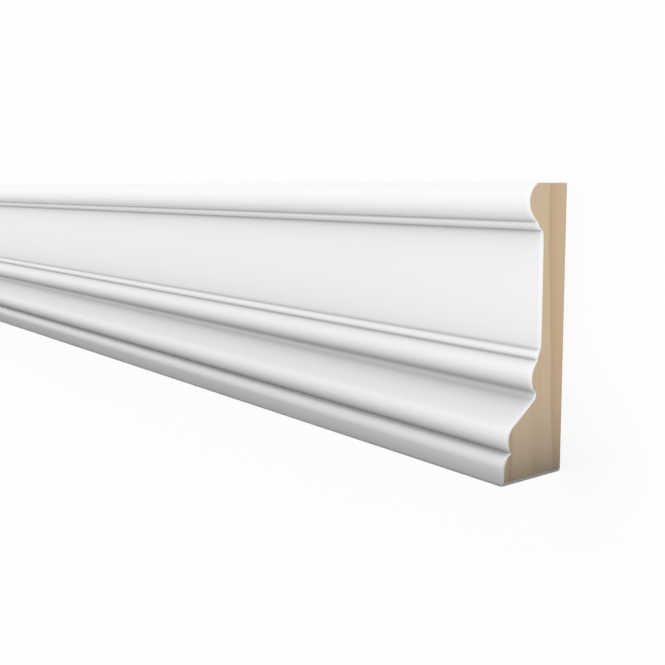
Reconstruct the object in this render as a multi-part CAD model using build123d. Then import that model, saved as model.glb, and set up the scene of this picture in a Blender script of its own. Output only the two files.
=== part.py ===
from build123d import *

import os
from math import acos, degrees, sqrt

# Architrave moulding: one length of machined softwood that lies on its flat back.
# X runs along the length, Y across the face from the thick outer edge to the thin beaded edge,
# and Z up from the back. The origin is at the middle of the back. Sizes are millimetres.

# The length of stock
length = 2100.0
width = 95.0
thickness = 28.0
field_thickness = 11.6
end_edge_radius = 1.0

# Margin along the thick edge: a narrow flat that rounds over into the first groove
margin_flat = 5.6
margin_round = 5.0
arris_radius = 1.0

# Ogee: a convex nose beside the margin, a straight slope, and a hollow that runs out at the torus
nose_radius = 5.8
nose_place = 14.6
nose_drop = 1.75
hollow_radius = 2.5
hollow_rise = 1.5

# Torus at the foot of the ogee, and the small bead that lies along its rim
torus_radius = 6.35
torus_place = 33.25
torus_rise = 4.15
small_bead_radius = 2.9
small_bead_rise = 1.2

# Large bead along the thin edge, and the ovolo that steps down from it to the field
edge_bead_radius = 7.0
edge_bead_inset = 5.9
edge_bead_rise = 6.9
ovolo_radius = 3.5
ovolo_tuck = 1.1
ovolo_rise = 2.9

# Places are measured from the thick edge, and the inset from the thin edge, to a round's centre.
# The tuck is how far the ovolo's centre lies inside the rim of the large bead.
# Rises are measured up from the field to a crest or a floor, and the drop down from the margin.
hollow_floor = field_thickness + hollow_rise
torus_crest = field_thickness + torus_rise
edge_bead_place = width - edge_bead_inset
small_bead_place = torus_place + torus_radius
ovolo_place = edge_bead_place - edge_bead_radius + ovolo_tuck


def bar(reach, height):
    """A rectangle on the back that reaches in from the thick edge."""
    Rectangle(reach, height, align=(Align.MIN, Align.MIN))


def bead(place, crest, radius):
    """A round whose crest stands at the given height above the back."""
    with Locations((place, crest - radius)):
        Circle(radius)


def ogee():
    """The solid part under the slope: the line that touches both the nose and the hollow."""
    torus_foot = torus_place - sqrt(torus_radius**2 - (hollow_floor - torus_crest + torus_radius) ** 2)
    hollow_end = Vector(torus_foot, hollow_floor)
    hollow_centre = hollow_end + Vector(0, hollow_radius)
    nose_centre = Vector(nose_place, thickness - nose_drop - nose_radius)
    apart = hollow_centre - nose_centre
    turn = degrees(acos((nose_radius + hollow_radius) / apart.length))
    square_to_slope = apart.normalized().rotate(Axis.Z, turn)
    slope_top = nose_centre + square_to_slope * nose_radius
    slope_foot = hollow_centre - square_to_slope * hollow_radius
    with BuildLine() as outline:
        Polyline(slope_foot, slope_top, nose_centre, (nose_place, 0), (hollow_end.X, 0), hollow_end)
        TangentArc(hollow_end, slope_foot, tangent=(-1, 0))
    make_face(outline.edges())
    bead(nose_place, thickness - nose_drop, nose_radius)
    bar(nose_place, nose_centre.Y)


def section():
    """The moulded section: flats and rounds run together, with a groove where two rounds meet."""
    with BuildSketch() as drawing:
        bar(width, field_thickness)

        # Beaded thin edge
        bead(edge_bead_place, field_thickness + edge_bead_rise, edge_bead_radius)
        bead(ovolo_place, field_thickness + ovolo_rise, ovolo_radius)

        # Torus, small bead and ogee
        bead(torus_place, torus_crest, torus_radius)
        bead(small_bead_place, field_thickness + small_bead_rise, small_bead_radius)
        bar(torus_place, hollow_floor)
        ogee()

        # Margin along the thick edge
        bar(margin_flat, thickness)
        bead(margin_flat, thickness, margin_round)
        bar(margin_flat + margin_round, thickness - margin_round)

        # The stock's own edges cut the rounds off flush
        Rectangle(width, thickness, align=(Align.MIN, Align.MIN), mode=Mode.INTERSECT)
        fillet(drawing.vertices().sort_by_distance((0, thickness))[0], arris_radius)
    return drawing.sketch


# The drawing's width lies along Y and its height along Z
across = Plane(origin=(0, -width / 2, 0), x_dir=(0, 1, 0), z_dir=(1, 0, 0))
half = extrude(across * section(), amount=length / 2, dir=(1, 0, 0))

# The sawn end has its edges eased, except along the back and the thin edge, and the two halves are alike
end = half.faces().sort_by(Axis.X)[-1]
above_back = end.edges().filter_by_position(Axis.Z, 0, thickness, inclusive=(False, True))
eased = above_back.sort_by(Axis.Y)[:-1]
half = fillet(eased, end_edge_radius)
architrave = half + mirror(half, about=Plane.YZ)
architrave.label = "architrave"

os.makedirs("parts", exist_ok=True)
export_step(architrave, "parts/architrave.step")
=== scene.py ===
import bpy
import numpy as np
from bpy.props import FloatProperty, FloatVectorProperty, IntProperty, PointerProperty
from mathutils import Matrix, Vector


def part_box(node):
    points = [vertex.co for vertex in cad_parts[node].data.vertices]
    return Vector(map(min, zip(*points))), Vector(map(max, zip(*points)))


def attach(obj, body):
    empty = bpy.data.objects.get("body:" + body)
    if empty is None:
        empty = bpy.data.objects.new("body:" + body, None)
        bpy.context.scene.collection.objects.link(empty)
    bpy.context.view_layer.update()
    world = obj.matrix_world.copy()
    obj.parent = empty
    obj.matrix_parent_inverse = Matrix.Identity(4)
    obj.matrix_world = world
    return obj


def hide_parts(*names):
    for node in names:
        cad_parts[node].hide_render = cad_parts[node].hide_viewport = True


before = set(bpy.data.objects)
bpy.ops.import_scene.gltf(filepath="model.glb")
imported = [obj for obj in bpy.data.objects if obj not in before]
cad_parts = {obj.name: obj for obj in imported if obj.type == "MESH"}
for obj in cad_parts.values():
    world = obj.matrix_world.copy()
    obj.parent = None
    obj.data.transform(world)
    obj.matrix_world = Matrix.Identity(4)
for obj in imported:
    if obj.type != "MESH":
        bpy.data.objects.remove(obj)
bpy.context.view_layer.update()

bl_info = {
    "name": "Architrave moulding",
    "version": (1, 0, 0),
    "blender": (4, 5, 0),
    "location": "3D View > Sidebar > Moulding",
    "description": "A painted softwood architrave on a pale floor, dressed around its solid model",
    "category": "Object",
}

# The solid model and its box
NODE = "architrave"
BODY = "root"
LOW, HIGH = (np.array(corner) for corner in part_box(NODE))
LENGTH, WIDTH, THICKNESS = (float(extent) for extent in HIGH - LOW)

# The dressed piece, and what its points and the card's hold for their materials: the piece's points hold the
# shade painted into its grooves and creases
PIECE = "painted_architrave"
GROOVE_SHADE = "groove"
FADE = "fade"

# The picture's side in pixels, the sensor's width in millimetres and the camera's range in metres
PICTURE_SIDE = 665
SENSOR_WIDTH = 36.0
CLIP_START, CLIP_END = 0.01, 100.0

# Colour of the light and of the plain ground
WHITE = (1.0, 1.0, 1.0, 1.0)

# Scales of the patterns, per metre along the length, across it and up
PAINT_RUNS = (5.0, 420.0, 420.0)
PAINT_CLOUD = (4.0, 30.0, 30.0)
PAINT_FILM = (900.0, 900.0, 900.0)
RING_WANDER = (1.5, 25.0, 25.0)
WOOD_FIBRE = (30.0, 2600.0, 2600.0)

# Roughness from the smoothest to the roughest place, and relief as its height in metres and its strength
PAINT_ROUGHNESS = (0.36, 0.46)
PAINT_RELIEF = (0.00004, 0.35)
WOOD_ROUGHNESS = (0.62, 0.8)
WOOD_RELIEF = (0.0001, 0.5)


def size(name, description, default):
    """A length that a user may change, in metres."""
    return FloatProperty(name=name, description=description, default=default, unit="LENGTH", precision=5)


def angle(name, description, default):
    """An angle that a user may change, in radians."""
    return FloatProperty(name=name, description=description, default=default, unit="ROTATION")


def number(name, description, default):
    """A plain number that a user may change."""
    return FloatProperty(name=name, description=description, default=default)


def count(name, description, default):
    """A whole number that a user may change."""
    return IntProperty(name=name, description=description, default=default)


def colour(name, description, default):
    """A linear colour that a user may change."""
    return FloatVectorProperty(
        name=name, description=description, default=default, subtype="COLOR", min=0.0, max=1.0
    )


def direction(name, description, default):
    """A direction that a user may change."""
    return FloatVectorProperty(name=name, description=description, default=default, subtype="DIRECTION")


class SectionSizes(bpy.types.PropertyGroup):
    """Sizes of the moulded section. Rises are measured up from the field, places from the thick edge."""

    length: size("Length", "Length of the stock", LENGTH)
    width: size("Width", "From the thick edge to the thin edge", WIDTH)
    thickness: size("Thickness", "From the back to the margin", THICKNESS)
    field: size("Field", "Thickness of the flat field", 0.0116)
    margin_flat: size("Margin flat", "Flat along the thick edge", 0.0056)
    margin_round: size("Margin round", "Radius that rounds the margin into its groove", 0.005)
    arris: size("Arris", "Radius of the eased front edge", 0.001)
    nose_radius: size("Nose radius", "Convex part of the ogee", 0.0058)
    nose_place: size("Nose place", "Centre of the nose", 0.0146)
    nose_drop: size("Nose drop", "How far the nose lies below the margin", 0.00175)
    hollow_radius: size("Hollow radius", "Concave part of the ogee", 0.0025)
    hollow_rise: size("Hollow rise", "Floor of the hollow", 0.0015)
    torus_radius: size("Torus radius", "Large round at the foot of the ogee", 0.00635)
    torus_place: size("Torus place", "Centre of the torus", 0.03325)
    torus_rise: size("Torus rise", "Crest of the torus", 0.00415)
    small_bead_radius: size("Small bead radius", "Bead between the torus and the field", 0.0029)
    small_bead_rise: size("Small bead rise", "Crest of the small bead", 0.0012)
    edge_bead_radius: size("Edge bead radius", "Large bead along the thin edge", 0.007)
    edge_bead_inset: size("Edge bead inset", "Centre of the large bead, from the thin edge", 0.0059)
    edge_bead_rise: size("Edge bead rise", "Crest of the large bead", 0.0069)
    ovolo_radius: size("Ovolo radius", "Round step between the large bead and the field", 0.0035)
    ovolo_tuck: size("Ovolo tuck", "How far its centre lies inside the large bead", 0.0011)
    ovolo_rise: size("Ovolo rise", "Crest of the ovolo", 0.0029)
    end_edge: size("End edge", "Radius of the eased edges round each end", 0.001)
    end_on_beads: number("End on beads", "Share of that easing on the beads and the flats", 0.95)
    end_in_grooves: number("End in grooves", "Share of that easing that is left in a deep groove", 0.4)
    end_thin_edge: number("End at thin edge", "Share of that easing along the thin edge", 0.2)
    end_thick_edge: number("End at thick edge", "Share of that easing along the thick edge", 1.4)
    sharp_turn: angle("Sharp turn", "Turn of the section past which an edge is sharp", np.radians(12.0))
    arc_step: angle("Arc step", "Turn from one point of an arc to the next", np.radians(4.0))
    line_step: size("Line step", "Distance between points on the flats", 0.001)
    end_points: count("End points", "Points round each eased edge, from the side to the end", 7)
    bay_count: count("Bays", "Spans along the length, between the two eased ends", 42)


class FinishColours(bpy.types.PropertyGroup):
    """Colours of the paint and of the bare wood, the patterns in them, and the shade painted into the
    grooves.
    """

    paint: colour("Paint", "White satin paint", (0.863, 0.863, 0.861))
    paint_cloud: number("Paint cloud", "What is left of the paint's colour where it is clouded", 0.985)
    paint_gloss: number("Paint gloss", "Strength of the paint's reflection", 0.13)
    # Painted shade: in grooves and creases the paint is darkened towards groove_shade_colour by how closed in
    # each point is, and the settings below shape that closeness.
    groove_shade_colour: colour("Groove paint", "The paint where it has greyed in a groove", (0.453, 0.453, 0.449))
    groove_reach: size("Groove reach", "How far apart two surfaces still grey each other", 0.0279)
    groove_most: number("Groove most", "Hidden share of the view at which the paint is at its greyest", 0.357)
    crease_turn: angle("Crease turn", "Inward turn that leaves about a third of what is still open", 0.58)
    crease_width: size("Crease width", "How far along the outline a turn still counts", 0.0007)
    end_open: size("End open", "How far from an end a groove is still noticeably more open", 0.0017)
    early_wood: colour("Early wood", "Pale wood of a year's first growth", (0.584, 0.456, 0.31))
    late_wood: colour("Late wood", "Darker wood of a year's last growth", (0.505, 0.355, 0.226))
    wood_gloss: number("Wood gloss", "Strength of the wood's reflection", 0.25)
    # Painted shade: the wood greys towards the thick edge, which lies in shade.
    dull_edge: number("Dull edge", "Saturation of the wood along the thick edge", 0.85)
    dull_end: size("Dull end", "Place across, from the middle, where the wood has its full colour", -0.01)
    ring_spacing: size("Ring spacing", "Width of one year's growth", 0.0105)
    ring_wander: number("Ring wander", "How far the rings wander, in years", 0.15)
    ring_growth: number("Ring growth", "Power by which a ring darkens outwards", 2.5)
    ring_edge: number("Ring edge", "Part of the next year over which a ring's dark edge fades", 0.09)
    strong_below: size("Strong below", "Height up to which the rings show fully", 0.009)
    faint_above: size("Faint above", "Height above which the rings are faint", 0.016)
    faint_rings: number("Faint rings", "Strength of the rings there", 0.12)
    margin_start: size("Margin start", "Height from which the rings come back", 0.022)
    margin_full: size("Margin full", "Height at which they are at their strongest", 0.0265)
    margin_rings: number("Margin rings", "Strength of the rings there", 2.2)
    streak_scale: number("Streak scale", "Fineness of the streaks, in a year", 14.0)
    streak_depth: number("Streak depth", "How much a streak darkens or lightens the wood", 0.45)
    pith_depth: size("Pith depth", "Heart of the tree, below the back", 1.00245)
    pith_shift: size("Pith shift", "Heart of the tree, towards the thin edge", 0.0458)
    pith_lean: angle("Pith lean", "Lean of the heart along the length", 0.012)


class StudioSizes(bpy.types.PropertyGroup):
    """Places of the camera, the floor and the card, and strengths of the light."""

    camera_past_end: size("Camera past end", "Beyond the right end, along the length", 0.19507)
    camera_across: size("Camera across", "Across the face, from the middle", 0.04593)
    camera_height: size("Camera height", "Above the back", 0.24606)
    look: direction("Look", "Direction in which the camera looks", (-0.7862, -0.10184, -0.60953))
    focal_pixels: number("Focal length", "In pixels of the square picture", 948.6)
    axis_pixel: number("Optical axis", "Row of the picture that the optical axis meets", 284.3)
    sky_low: number("Sky low", "Brightness of the light on its weak side", 0.524)
    sky_gain: number("Sky gain", "How much brighter the light is on its strong side", 0.974)
    sky_focus: number("Sky focus", "How closely the strong side gathers round its middle", 2.53)
    sky_side: direction("Sky side", "Direction of the light's strong side", (0.45, 0.36, 1.06))
    floor_side: size("Floor side", "Side of the square floor", 24.0)
    floor_gap: size("Floor gap", "How far the floor lies below the back", 0.0002)
    floor_colour: colour("Floor colour", "Matt pale floor", (0.86, 0.86, 0.86))
    floor_glow: number("Floor glow", "Share of the floor that shows as plain white", 0.88)
    card_colour: colour("Card colour", "Matt black of the card", (0.02, 0.02, 0.02))
    card_base: number("Card base", "Strength of the dark card where it starts", 1.1)
    card_reach: size("Card reach", "How far the card stands out from the margin and from the end", 0.0383)
    card_far_reach: size("Card far reach", "How far it stands out from the margin further along", 0.0577)
    card_rise: size("Card rise", "Distance along the length over which it grows to that", 0.06)
    card_lean: size("Card lean", "How far its outer edge leans over the face and the end", 0.0139)
    card_columns: count("Card columns", "Columns of points along the card", 14)


# Shapes


def arc(centre, radius, start, end, step):
    """Points of a circle: the centre plus radius times (cos a, sin a), with a running from start to end."""
    bearings = np.linspace(start, end, max(3, int(np.ceil(abs(end - start) / step)) + 1))
    return np.array(centre) + radius * np.column_stack((np.cos(bearings), np.sin(bearings)))


def line(start, end, step):
    """Points from start to end, evenly spaced and no further apart than step."""
    start, end = np.array(start), np.array(end)
    points = max(2, int(np.ceil(np.hypot(*(end - start)) / step)) + 1)
    return start + np.linspace(0.0, 1.0, points)[:, None] * (end - start)


def bearing(point, centre):
    """Angle of a point seen from a centre."""
    return float(np.arctan2(point[1] - centre[1], point[0] - centre[0]))


def round_between(centre, radius, start, end, step):
    """The arc of a circle from one of its points to another."""
    return arc(centre, radius, bearing(start, centre), bearing(end, centre), step)


def centre_under(place, crest, radius):
    """Centre of a round whose crest is at the given place and height."""
    return np.array((place, crest - radius))


def groove(left, left_radius, right, right_radius):
    """The upper point where two circles cross: some way along the line of centres, then square to it."""
    gap = right - left
    apart = np.hypot(*gap)
    along = (apart**2 + left_radius**2 - right_radius**2) / (2 * apart)
    rise = np.sqrt(left_radius**2 - along**2)
    return left + (along * gap + rise * np.array((-gap[1], gap[0]))) / apart


def beside(centre, radius, height, side):
    """The point of a circle at a given height, on its left (-1) or right (1) side."""
    rise = height - centre[1]
    return centre + np.array((side * np.sqrt(radius**2 - rise**2), rise))


def section_outline(sizes):
    """The painted outline, from the back of the thick edge over the face to the back of the thin edge.

    Each round is an arc of a circle and each flat a straight line. Two rounds meet in a groove where
    their circles cross. The ogee's slope is the line that touches the nose from outside and the hollow
    from inside: it is square to the line of centres turned by acos((nose + hollow) / distance).
    Points are (across from the thick edge, height above the back). The count of the points before the
    thin edge comes with them.
    """
    field, top = sizes.field, sizes.thickness
    margin = centre_under(sizes.margin_flat, top, sizes.margin_round)
    nose = centre_under(sizes.nose_place, top - sizes.nose_drop, sizes.nose_radius)
    torus = centre_under(sizes.torus_place, field + sizes.torus_rise, sizes.torus_radius)
    small_bead_place = sizes.torus_place + sizes.torus_radius
    small_bead = centre_under(small_bead_place, field + sizes.small_bead_rise, sizes.small_bead_radius)
    edge_bead_place = sizes.width - sizes.edge_bead_inset
    edge_bead = centre_under(edge_bead_place, field + sizes.edge_bead_rise, sizes.edge_bead_radius)
    ovolo_place = edge_bead_place - sizes.edge_bead_radius + sizes.ovolo_tuck
    ovolo = centre_under(ovolo_place, field + sizes.ovolo_rise, sizes.ovolo_radius)

    margin_groove = groove(margin, sizes.margin_round, nose, sizes.nose_radius)
    torus_foot = beside(torus, sizes.torus_radius, field + sizes.hollow_rise, -1)
    hollow = torus_foot + np.array((0.0, sizes.hollow_radius))
    apart = hollow - nose
    lean = np.arccos((sizes.nose_radius + sizes.hollow_radius) / np.hypot(*apart))
    slope_bearing = np.arctan2(apart[1], apart[0]) + lean
    square_to_slope = np.array((np.cos(slope_bearing), np.sin(slope_bearing)))
    slope_top = nose + sizes.nose_radius * square_to_slope
    slope_foot = hollow - sizes.hollow_radius * square_to_slope
    torus_groove = groove(torus, sizes.torus_radius, small_bead, sizes.small_bead_radius)
    field_start = beside(small_bead, sizes.small_bead_radius, field, 1)
    field_end = beside(ovolo, sizes.ovolo_radius, field, -1)
    bead_groove = groove(ovolo, sizes.ovolo_radius, edge_bead, sizes.edge_bead_radius)
    bead_rise = np.sqrt(sizes.edge_bead_radius**2 - sizes.edge_bead_inset**2)
    bead_end = edge_bead + np.array((sizes.edge_bead_inset, bead_rise))

    quarter = np.pi / 2
    turn, step = sizes.arc_step, sizes.line_step
    runs = [
        line((0.0, 0.0), (0.0, top - sizes.arris), step),
        arc((sizes.arris, top - sizes.arris), sizes.arris, 2 * quarter, quarter, 2 * turn),
        line((sizes.arris, top), (sizes.margin_flat, top), step),
        arc(margin, sizes.margin_round, quarter, bearing(margin_groove, margin), turn),
        arc(nose, sizes.nose_radius, bearing(margin_groove, nose), slope_bearing, turn),
        line(slope_top, slope_foot, step),
        arc(hollow, sizes.hollow_radius, slope_bearing + 2 * quarter, 3 * quarter, turn),
        round_between(torus, sizes.torus_radius, torus_foot, torus_groove, turn),
        round_between(small_bead, sizes.small_bead_radius, torus_groove, field_start, turn),
        line(field_start, field_end, step),
        round_between(ovolo, sizes.ovolo_radius, field_end, bead_groove, turn),
        round_between(edge_bead, sizes.edge_bead_radius, bead_groove, bead_end, turn),
        line(bead_end, (sizes.width, 0.0), step),
    ]
    outline = np.vstack([runs[0]] + [run[1:] for run in runs[1:]])
    return outline, len(outline) - len(runs[-1])


def closeness(outline, finish):
    """How much each point of the outline is closed in by the surfaces round it, from 0 to 1. It sets the
    shade painted into the paint's grooves and creases, and the easing of the ends there.

    A short side of the outline hides half of cos(here) cos(there) / distance times its length from the
    middle of another side. That share fades as exp(-distance / reach) and is summed over all the sides.
    A point takes the mean of its two sides, and is fully closed where that reaches the share called most.
    In a crease or a hollow, what is still open shrinks by exp(-bend / crease_turn). The bend of a point is
    the sum of the outline's inward turns round it, each of which counts evenly less over crease_width.
    """
    side = np.diff(outline, axis=0)
    length = np.hypot(side[:, 0], side[:, 1])
    normal = np.column_stack((-side[:, 1], side[:, 0])) / length[:, None]
    middle = (outline[1:] + outline[:-1]) / 2
    gap = middle[None] - middle[:, None]
    distance = np.hypot(gap[..., 0], gap[..., 1]) + np.eye(len(middle))
    here = np.clip(np.einsum("ijk,ik->ij", gap, normal) / distance, 0.0, None)
    there = np.clip(-np.einsum("ijk,jk->ij", gap, normal) / distance, 0.0, None)
    hidden = (0.5 * here * there / distance * length * np.exp(-distance / finish.groove_reach)).sum(1)
    ends = np.concatenate((hidden[:1], hidden, hidden[-1:]))
    closed = np.clip((ends[1:] + ends[:-1]) / 2 / finish.groove_most, 0.0, 1.0)

    sine = normal[:-1, 0] * normal[1:, 1] - normal[:-1, 1] * normal[1:, 0]
    cosine = (normal[:-1] * normal[1:]).sum(1)
    turn = np.clip(np.arctan2(sine, cosine), 0.0, None)
    along = np.concatenate(([0.0], np.cumsum(length)))
    near = np.clip(1.0 - np.abs(along[:, None] - along[1:-1]) / finish.crease_width, 0.0, None)
    return 1.0 - (1.0 - closed) * np.exp(-near @ turn / finish.crease_turn)


def inward(outline, thin_corner, eased, sizes):
    """Steps into the wood that ease an end: the mean normal of a point's two sides, times its eased share.

    Steps are in units of the end's easing. The back stays flat, so the two ends of the outline step along
    it. Along the thick edge, and round its arris, the step reaches in as far as that edge's own share.
    From the corner of the thin edge on, the step goes in by the thin edge's share and down to where the
    two eased sides meet, a drop of (share + thin share times the corner normal's across part) / (its
    downward part), run out to the back.
    """
    side = np.diff(outline, axis=0)
    side /= np.hypot(side[:, 0], side[:, 1])[:, None]
    normal = np.column_stack((side[:, 1], -side[:, 0]))
    step = np.zeros_like(outline)
    step[1:-1] = normal[:-1] + normal[1:]
    step[0] = (1.0, 0.0)
    step[:-1] *= (eased[:-1] / np.hypot(step[:-1, 0], step[:-1, 1]))[:, None]
    step[:, 0] = np.maximum(step[:, 0], sizes.end_thick_edge - outline[:, 0] / sizes.end_edge)
    last = normal[thin_corner - 1]
    drop = (eased[thin_corner - 1] + sizes.end_thin_edge * last[0]) / -last[1]
    step[thin_corner:, 0] = -sizes.end_thin_edge
    step[thin_corner:, 1] = -drop * outline[thin_corner:, 1] / outline[thin_corner, 1]
    return step


def back_points(outline):
    """A point of the back for each outline point: below it, moved a little by its share of the outline.

    The small share of arc length keeps neighbouring points apart under the upright edges.
    """
    arc_share = 0.1
    reach = np.concatenate(([0.0], np.cumsum(np.hypot(*np.diff(outline, axis=0).T))))
    reach /= reach[-1]
    even = outline[0, 0] + reach * (outline[-1, 0] - outline[0, 0])
    across = (1.0 - arc_share) * outline[:, 0] + arc_share * even
    return np.column_stack((across, np.zeros(len(outline))))


def closed_loop(outline, thin_corner, closed, sizes):
    """The loop round the section, and the step that each of its points takes inwards at an end.

    The loop is the painted outline and then the back, point under point.
    """
    eased = sizes.end_on_beads + (sizes.end_in_grooves - sizes.end_on_beads) * closed
    step = inward(outline, thin_corner, eased, sizes)
    back = back_points(outline)
    back_step = (back_points(outline + sizes.end_edge * step) - back) / sizes.end_edge
    return np.vstack((outline, back[-2:0:-1])), np.vstack((step, back_step[-2:0:-1]))


def turns(loop):
    """How far a closed loop turns at each of its points."""
    ahead = np.roll(loop, -1, axis=0) - loop
    heading = np.arctan2(ahead[:, 1], ahead[:, 0])
    turn = heading - np.roll(heading, 1)
    return np.abs((turn + np.pi) % (2 * np.pi) - np.pi)


def eased_stations(sizes):
    """Stations along the length, how far the loop draws in at each and how far the skin has turned.

    Over the last end_edge of each end, x is r sin a and the inset r (1 - cos a), a quarter round.
    Between them t runs evenly from -1 to 1 and x is half times (1 - (1 - |t|) cubed), on t's side, so
    that the stations crowd towards the ends.
    """
    quarter = np.linspace(0.0, np.pi / 2, sizes.end_points)
    half = sizes.length / 2 - sizes.end_edge
    even = np.linspace(-1.0, 1.0, sizes.bay_count + 1)[1:-1]
    middle = half * np.sign(even) * (1.0 - (1.0 - np.abs(even)) ** 3)
    turned = np.concatenate((quarter[::-1], np.zeros(len(middle)), quarter))
    end_x = half + sizes.end_edge * np.sin(quarter)
    x = np.concatenate((-end_x[::-1], middle, end_x))
    return x, sizes.end_edge * (1.0 - np.cos(turned)), turned


def skin_faces(rings, around, painted):
    """Faces of the closed skin, and the finish of each: 0 is paint and 1 is bare wood.

    Point j of ring i is number i times around + j, and the first points of a ring are painted. Two
    neighbours on a ring and the two beside them on the next ring make a side. Strips from the outline
    to the back close each end, and the first and last of them have three corners.
    """
    here = np.arange(rings * around).reshape(rings, around)
    ahead = np.roll(here, -1, axis=1)
    sides = np.stack((here[:-1], here[1:], ahead[1:], ahead[:-1]), axis=-1).reshape(-1, 4)
    side_finish = np.tile(np.where(np.arange(around) < painted - 1, 0, 1), rings - 1)

    below = np.concatenate(([0], np.arange(around - 1, painted - 1, -1), [painted - 1]))
    strips = np.column_stack((below[:-1], below[1:], np.arange(1, painted), np.arange(painted - 1)))
    quads = strips[1:-1]
    wedges = np.vstack((strips[0, :3], strips[-1, [0, 1, 3]]))
    last_ring = (rings - 1) * around
    faces = sides.tolist()
    faces += (quads + last_ring).tolist() + quads[:, ::-1].tolist()
    faces += (wedges + last_ring).tolist() + wedges[:, ::-1].tolist()
    end_finish = np.ones(len(faces) - len(sides), int)
    return faces, np.concatenate((side_finish, end_finish)).astype(np.int32)


def point_numbers(mesh, name, values):
    """A number for each point of a mesh, which a material reads by its name."""
    mesh.attributes.new(name, "FLOAT", "POINT").data.foreach_set("value", values)


def moulding_mesh(sizes, finish):
    """Section carried along the length: point (i, j) is station i's x and loop point j, drawn in at the ends.

    Edges are sharp in the sawn ends and along the length where the loop turns by more than sharp_turn.
    The attribute GROOVE_SHADE holds each point's closeness, which sets the shade painted into the grooves and
    creases.
    It fades with the cosine of the turn round the eased ends. At a distance d from an end it is
    (1 + d / sqrt(d^2 + end_open^2)) / 2 of the whole, because the surfaces stop there.
    """
    outline, thin_corner = section_outline(sizes)
    closed = closeness(outline, finish)
    loop, step = closed_loop(outline, thin_corner, closed, sizes)
    x, inset, turned = eased_stations(sizes)
    rings, around, painted = len(x), len(loop), len(outline)
    place = loop[None] + inset[:, None, None] * step[None]
    points = np.empty((rings, around, 3))
    points[:, :, 0] = x[:, None]
    points[:, :, 1] = place[:, :, 0] - sizes.width / 2
    points[:, :, 2] = place[:, :, 1]
    faces, face_finish = skin_faces(rings, around, painted)

    mesh = bpy.data.meshes.new(PIECE)
    mesh.from_pydata(points.reshape(-1, 3), [], faces)
    mesh.polygons.foreach_set("material_index", face_finish)
    mesh.shade_smooth()

    pairs = np.empty(len(mesh.edges) * 2, np.int32)
    mesh.edges.foreach_get("vertices", pairs)
    ring, spot = np.divmod(pairs.reshape(-1, 2), around)
    lengthwise = (spot[:, 0] == spot[:, 1]) & (turns(loop) > sizes.sharp_turn)[spot[:, 0]]
    at_end = (ring[:, 0] == ring[:, 1]) & np.isin(ring[:, 0], (0, rings - 1))
    sharp = mesh.attributes.new("sharp_edge", "BOOLEAN", "EDGE")
    sharp.data.foreach_set("value", lengthwise | at_end)

    # Painted shade: each point's closeness, faded round and near the ends, darkens the paint in the grooves.
    from_end = sizes.length / 2 - np.abs(x)
    closed_along = np.cos(turned) * (1.0 + from_end / np.hypot(from_end, finish.end_open)) / 2
    closed_around = np.concatenate((closed, np.zeros(around - painted)))
    point_numbers(mesh, GROOVE_SHADE, np.outer(closed_along, closed_around).ravel())
    mesh.update()
    return mesh


# Finishes


def node(tree, kind, **settings):
    """A new node, with its properties and its unlinked inputs set by name."""
    made = tree.nodes.new(kind)
    for name, value in settings.items():
        if hasattr(made, name):
            setattr(made, name, value)
        else:
            made.inputs[name.replace("_", " ")].default_value = value
    return made


def feed(tree, values, sockets):
    """Give each socket its value: a link from another node's output, or a plain value that is set on it."""
    for value, socket in zip(values, sockets):
        if isinstance(value, bpy.types.NodeSocket):
            tree.links.new(value, socket)
        else:
            socket.default_value = value


def maths(tree, operation, *values, clamp=False):
    """A number worked out from others."""
    made = node(tree, "ShaderNodeMath", operation=operation, use_clamp=clamp)
    feed(tree, values, made.inputs)
    return made.outputs["Value"]


def vector_maths(tree, operation, *values):
    """The outputs of a node that works on vectors: its Vector, or its Value where the result is a number."""
    made = node(tree, "ShaderNodeVectorMath", operation=operation)
    feed(tree, values, made.inputs)
    return made.outputs


def noise(tree, place, scale, detail):
    """Smooth noise from 0 to 1, with a scale for each axis."""
    mapping = node(tree, "ShaderNodeMapping", Scale=scale)
    tree.links.new(place, mapping.inputs["Vector"])
    made = node(tree, "ShaderNodeTexNoise", Scale=1.0, Detail=detail)
    tree.links.new(mapping.outputs["Vector"], made.inputs["Vector"])
    return made.outputs["Fac"]


def between(tree, factor, low, high, start=0.0, end=1.0):
    """A number that goes from low to high as the factor goes from start to end."""
    made = node(tree, "ShaderNodeMapRange", From_Min=start, From_Max=end, To_Min=low, To_Max=high)
    tree.links.new(factor, made.inputs["Value"])
    return made.outputs["Result"]


def opaque(tone):
    """A colour with nothing showing through it."""
    return (*tone, 1.0)


def mixed(tree, factor, first, second):
    """A colour that goes from first to second. The node's colours come after its numbers and vectors."""
    first_colour, second_colour, result = 6, 7, 2
    made = node(tree, "ShaderNodeMix", data_type="RGBA")
    sockets = (made.inputs["Factor"], made.inputs[first_colour], made.inputs[second_colour])
    feed(tree, (factor, first, second), sockets)
    return made.outputs[result]


def bump(tree, surface, height, distance, strength):
    """Fine relief on a surface."""
    made = node(tree, "ShaderNodeBump", Distance=distance, Strength=strength)
    tree.links.new(height, made.inputs["Height"])
    tree.links.new(made.outputs["Normal"], surface.inputs["Normal"])


def new_material(name):
    """A material with only its Principled surface and Object coordinates."""
    material = bpy.data.materials.new(name)
    material.use_nodes = True
    tree = material.node_tree
    surface = tree.nodes["Principled BSDF"]
    place = tree.nodes.new("ShaderNodeTexCoord").outputs["Object"]
    return material, tree, surface, place


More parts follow.
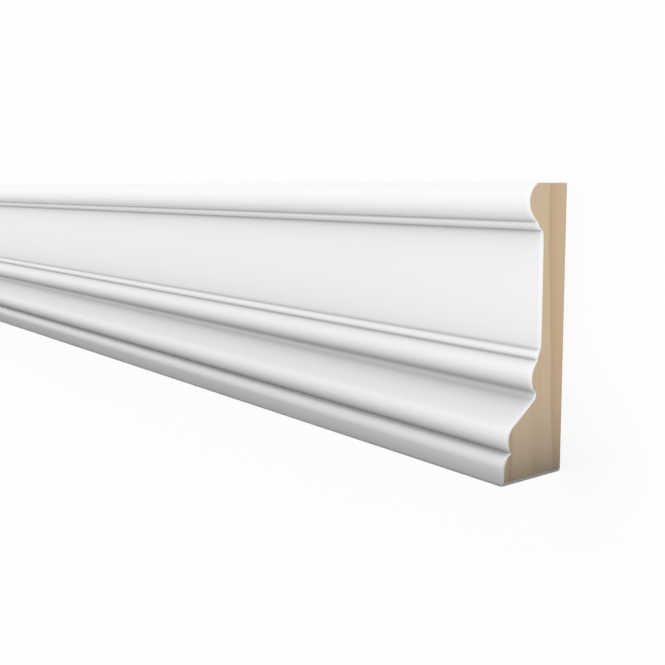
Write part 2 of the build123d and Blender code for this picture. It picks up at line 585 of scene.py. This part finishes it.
def satin_paint(finish):
    """White satin paint with shade painted into the grooves and creases, and faint runs of the coating along
    the length.
    """
    material, tree, surface, place = new_material("satin_paint")
    surface.inputs["Specular IOR Level"].default_value = finish.paint_gloss
    runs = noise(tree, place, PAINT_RUNS, detail=3.0)
    film = noise(tree, place, PAINT_FILM, detail=2.0)
    cloud = noise(tree, place, PAINT_CLOUD, detail=2.0)
    clouded = [finish.paint_cloud * part for part in finish.paint]
    unshaded_paint = mixed(tree, cloud, opaque(clouded), opaque(finish.paint))
    # Painted shade: the paint darkens towards the groove colour where a point is closed in.
    closed = node(tree, "ShaderNodeAttribute", attribute_name=GROOVE_SHADE).outputs["Fac"]
    tone = mixed(tree, closed, unshaded_paint, opaque(finish.groove_shade_colour))
    tree.links.new(tone, surface.inputs["Base Color"])
    tree.links.new(between(tree, runs, *PAINT_ROUGHNESS), surface.inputs["Roughness"])
    bump(tree, surface, maths(tree, "ADD", runs, film), *PAINT_RELIEF)
    return material


def ring_years(tree, place, finish):
    """The year in which the wood at a place grew: its distance from the pith in rings, wandering a little."""
    pith = node(
        tree, "ShaderNodeMapping",
        Location=(0.0, -finish.pith_shift, finish.pith_depth), Rotation=(0.0, finish.pith_lean, 0.0),
    )
    tree.links.new(place, pith.inputs["Vector"])
    square_to_pith = (0.0, 1.0, 1.0)
    flat = vector_maths(tree, "MULTIPLY", pith.outputs["Vector"], square_to_pith)["Vector"]
    away = vector_maths(tree, "LENGTH", flat)["Value"]
    wander = noise(tree, place, RING_WANDER, detail=3.0)
    shift = between(tree, wander, -finish.ring_wander, finish.ring_wander)
    return maths(tree, "MULTIPLY_ADD", away, 1.0 / finish.ring_spacing, shift)


def sawn_softwood(finish):
    """Bare softwood as a solid pattern: wide rings round a far pith, with fine streaks along them.

    The season is the part of a year that has passed. A ring darkens as the season to a power, and its
    dark edge fades over the first part of the next year. The rings are full near the back, faint further
    up, and show again by the margin. The wood is a little duller towards the thick edge, a painted greying
    that stands in for the shade along that edge.
    """
    material, tree, surface, place = new_material("sawn_softwood")
    surface.inputs["Specular IOR Level"].default_value = finish.wood_gloss
    split = tree.nodes.new("ShaderNodeSeparateXYZ")
    tree.links.new(place, split.inputs["Vector"])
    across, height = split.outputs["Y"], split.outputs["Z"]

    years = ring_years(tree, place, finish)
    season = maths(tree, "FRACT", years)
    growth = maths(tree, "POWER", season, finish.ring_growth)
    late = maths(tree, "MAXIMUM", growth, between(tree, season, 1.0, 0.0, 0.0, finish.ring_edge))
    by_back = between(tree, height, 1.0, finish.faint_rings, finish.strong_below, finish.faint_above)
    by_margin = between(tree, height, 0.0, finish.margin_rings, finish.margin_start, finish.margin_full)
    strength = maths(tree, "MAXIMUM", by_back, by_margin)
    streaks = node(
        tree, "ShaderNodeTexNoise", noise_dimensions="1D", Scale=finish.streak_scale, Detail=3.0
    )
    tree.links.new(years, streaks.inputs["W"])
    streak = between(tree, streaks.outputs["Fac"], -finish.streak_depth, finish.streak_depth)
    depth = maths(tree, "MULTIPLY_ADD", late, strength, streak, clamp=True)

    duller = tree.nodes.new("ShaderNodeHueSaturation")
    tone = mixed(tree, depth, opaque(finish.early_wood), opaque(finish.late_wood))
    tree.links.new(tone, duller.inputs["Color"])
    # Painted shade: less saturated towards the thick edge.
    saturation = between(tree, across, finish.dull_edge, 1.0, LOW[1], finish.dull_end)
    tree.links.new(saturation, duller.inputs["Saturation"])
    tree.links.new(duller.outputs["Color"], surface.inputs["Base Color"])
    fibre = noise(tree, place, WOOD_FIBRE, detail=2.0)
    tree.links.new(between(tree, fibre, *WOOD_ROUGHNESS), surface.inputs["Roughness"])
    bump(tree, surface, fibre, *WOOD_RELIEF)
    return material


# Stage


def cleared_tree(holder):
    """The node tree of a new material or world, empty."""
    holder.use_nodes = True
    holder.node_tree.nodes.clear()
    return holder.node_tree


def blended(tree, factor, first, second, output):
    """Show the first shader where the factor is 0 and the second where it is 1."""
    blend = tree.nodes.new("ShaderNodeMixShader")
    feed(tree, (factor, first.outputs[0], second.outputs[0]), blend.inputs)
    tree.links.new(blend.outputs["Shader"], tree.nodes.new(output).inputs["Surface"])


def seen_white(tree, strength):
    """The given strength where a camera, mirror or glass ray looks, and zero for rays that light things."""
    path = tree.nodes.new("ShaderNodeLightPath").outputs
    seen = maths(tree, "MAXIMUM", path["Is Camera Ray"], path["Is Glossy Ray"])
    seen = maths(tree, "MAXIMUM", seen, path["Is Transmission Ray"])
    return maths(tree, "MULTIPLY", seen, strength)


def pale_floor(studio):
    """Matt pale floor that shows mostly as plain white and keeps a light shadow."""
    material = bpy.data.materials.new("pale_floor")
    tree = cleared_tree(material)
    matt = node(tree, "ShaderNodeBsdfDiffuse", Color=opaque(studio.floor_colour))
    plain = node(tree, "ShaderNodeEmission", Color=WHITE, Strength=1.0)
    blended(tree, seen_white(tree, studio.floor_glow), matt, plain, "ShaderNodeOutputMaterial")
    return material


def fading_card(studio):
    """Matt black that the attribute FADE thins out to nothing."""
    material = bpy.data.materials.new("dark_card")
    tree = cleared_tree(material)
    strength = node(tree, "ShaderNodeAttribute", attribute_name=FADE).outputs["Fac"]
    clear = tree.nodes.new("ShaderNodeBsdfTransparent")
    matt = node(tree, "ShaderNodeBsdfDiffuse", Color=opaque(studio.card_colour))
    blended(tree, strength, clear, matt, "ShaderNodeOutputMaterial")
    return material


def flat_square(name, side, height):
    """A level square, its corners at plus and minus half the side."""
    corner = np.array(((-1, -1), (1, -1), (1, 1), (-1, 1))) * side / 2
    mesh = bpy.data.meshes.new(name)
    mesh.from_pydata(np.column_stack((corner, np.full(4, height))), [], [(0, 1, 2, 3)])
    return mesh


def card_mesh(studio):
    """A card that starts at the front edges of the thick edge and fades out over its reach.

    One part leans over the face. At a distance d from the end that the camera sees it stands out by
    far_reach - (far_reach - reach) exp(-d / rise), and its columns crowd towards that end as a cube.
    Another part stands past that end and leans as much, and the last fills the corner between them.
    """
    front, top, end = LOW[1], HIGH[2], HIGH[0]
    reach, far_reach, lean = studio.card_reach, studio.card_far_reach, studio.card_lean
    columns = studio.card_columns
    away = LENGTH * np.linspace(0.0, 1.0, columns) ** 3
    stand = far_reach - (far_reach - reach) * np.exp(-away / studio.card_rise)
    inner = np.column_stack((end - away, np.full(columns, front), np.full(columns, top)))
    outer = inner + stand[:, None] * np.array((0.0, lean / reach, 1.0))
    past = np.array((end, front, LOW[2])) + np.array((
        (0.0, 0.0, 0.0), (reach, lean, 0.0), (reach, lean, THICKNESS), (reach, lean, THICKNESS + reach)
    ))
    column = np.arange(columns - 1)
    foot = 2 * columns
    faces = np.column_stack((column + 1, column, columns + column, columns + column + 1)).tolist()
    faces += [(foot, foot + 1, foot + 2, 0), (0, foot + 2, foot + 3, columns)]
    mesh = bpy.data.meshes.new("dark_card")
    mesh.from_pydata(np.vstack((inner, outer, past)), [], faces)
    full = np.concatenate((np.ones(columns), np.zeros(columns), (1.0, 0.0, 0.0, 0.0)))
    point_numbers(mesh, FADE, studio.card_base * full)
    return mesh


def sky(scene, studio):
    """Soft light all round, stronger on one side: low + gain times ((1 + side . direction) / 2) ** focus."""
    scene.world = bpy.data.worlds.new("studio")
    tree = cleared_tree(scene.world)
    ray = tree.nodes.new("ShaderNodeTexCoord").outputs["Generated"]
    towards = vector_maths(tree, "DOT_PRODUCT", ray, Vector(studio.sky_side).normalized())["Value"]
    half = maths(tree, "MULTIPLY_ADD", towards, 0.5, 0.5)
    gathered = maths(tree, "POWER", half, studio.sky_focus)
    level = maths(tree, "MULTIPLY_ADD", gathered, studio.sky_gain, studio.sky_low)
    light = node(tree, "ShaderNodeBackground", Color=WHITE)
    tree.links.new(level, light.inputs["Strength"])
    plain = node(tree, "ShaderNodeBackground", Color=WHITE, Strength=1.0)
    blended(tree, seen_white(tree, 1.0), light, plain, "ShaderNodeOutputWorld")


def end_camera(scene, studio):
    """Camera past the right end, with the thin edge upwards in the picture."""
    data = bpy.data.cameras.new("camera")
    data.sensor_width = SENSOR_WIDTH
    data.lens = studio.focal_pixels * SENSOR_WIDTH / PICTURE_SIDE
    data.shift_y = studio.axis_pixel / PICTURE_SIDE - 0.5
    data.clip_start, data.clip_end = CLIP_START, CLIP_END
    camera = bpy.data.objects.new("camera", data)
    ahead = Vector(studio.look).normalized()
    right = ahead.cross(Vector((0.0, 1.0, 0.0))).normalized()
    upward = right.cross(ahead)
    turn = Matrix((right, upward, -ahead)).transposed().to_4x4()
    eye = Vector((HIGH[0] + studio.camera_past_end, studio.camera_across, studio.camera_height))
    camera.matrix_world = Matrix.Translation(eye) @ turn
    scene.collection.objects.link(camera)
    scene.camera = camera


# Operators


class MOULDING_OT_architrave(bpy.types.Operator):
    """Make the painted moulding in the place of its solid"""

    bl_idname = "moulding.architrave"
    bl_label = "Painted architrave"

    def execute(self, context):
        finish = context.scene.moulding_finish
        mesh = moulding_mesh(context.scene.moulding_section, finish)
        for material in (satin_paint(finish), sawn_softwood(finish)):
            mesh.materials.append(material)
        piece = bpy.data.objects.new(PIECE, mesh)
        context.scene.collection.objects.link(piece)
        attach(piece, BODY)
        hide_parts(NODE)
        return {"FINISHED"}


class MOULDING_OT_stage(bpy.types.Operator):
    """Make the floor, the card that darkens the thick edge, the light and the camera"""

    bl_idname = "moulding.stage"
    bl_label = "Stage"

    def execute(self, context):
        scene, studio = context.scene, context.scene.moulding_studio
        floor_height = LOW[2] - studio.floor_gap
        floor = bpy.data.objects.new("floor", flat_square("floor", studio.floor_side, floor_height))
        floor.data.materials.append(pale_floor(studio))
        card = bpy.data.objects.new("dark_card", card_mesh(studio))
        card.data.materials.append(fading_card(studio))
        card.visible_camera = False
        for thing in (floor, card):
            scene.collection.objects.link(thing)
        sky(scene, studio)
        end_camera(scene, studio)
        scene.view_settings.view_transform = "Standard"
        return {"FINISHED"}


class MOULDING_PT_panel(bpy.types.Panel):
    """The moulding's steps and settings"""

    bl_idname = "MOULDING_PT_panel"
    bl_label = "Architrave moulding"
    bl_space_type = "VIEW_3D"
    bl_region_type = "UI"
    bl_category = "Moulding"

    def draw(self, context):
        for step in OPERATORS:
            self.layout.operator(step.bl_idname)
        for holder in GROUPS:
            settings = getattr(context.scene, holder)
            for name in settings.__annotations__:
                self.layout.prop(settings, name)


OPERATORS = (MOULDING_OT_architrave, MOULDING_OT_stage)
GROUPS = {
    "moulding_section": SectionSizes,
    "moulding_finish": FinishColours,
    "moulding_studio": StudioSizes,
}
CLASSES = (*GROUPS.values(), *OPERATORS, MOULDING_PT_panel)


def register():
    """Add the classes, and a holder on the scene for each group of settings."""
    for made in CLASSES:
        bpy.utils.register_class(made)
    for holder, group in GROUPS.items():
        setattr(bpy.types.Scene, holder, PointerProperty(type=group))


def unregister():
    """Take the holders and the classes away again."""
    for holder in GROUPS:
        delattr(bpy.types.Scene, holder)
    for made in reversed(CLASSES):
        bpy.utils.unregister_class(made)


def main():
    """Make every piece and the stage."""
    register()
    bpy.ops.moulding.architrave()
    bpy.ops.moulding.stage()


if __name__ == "__main__":
    main()
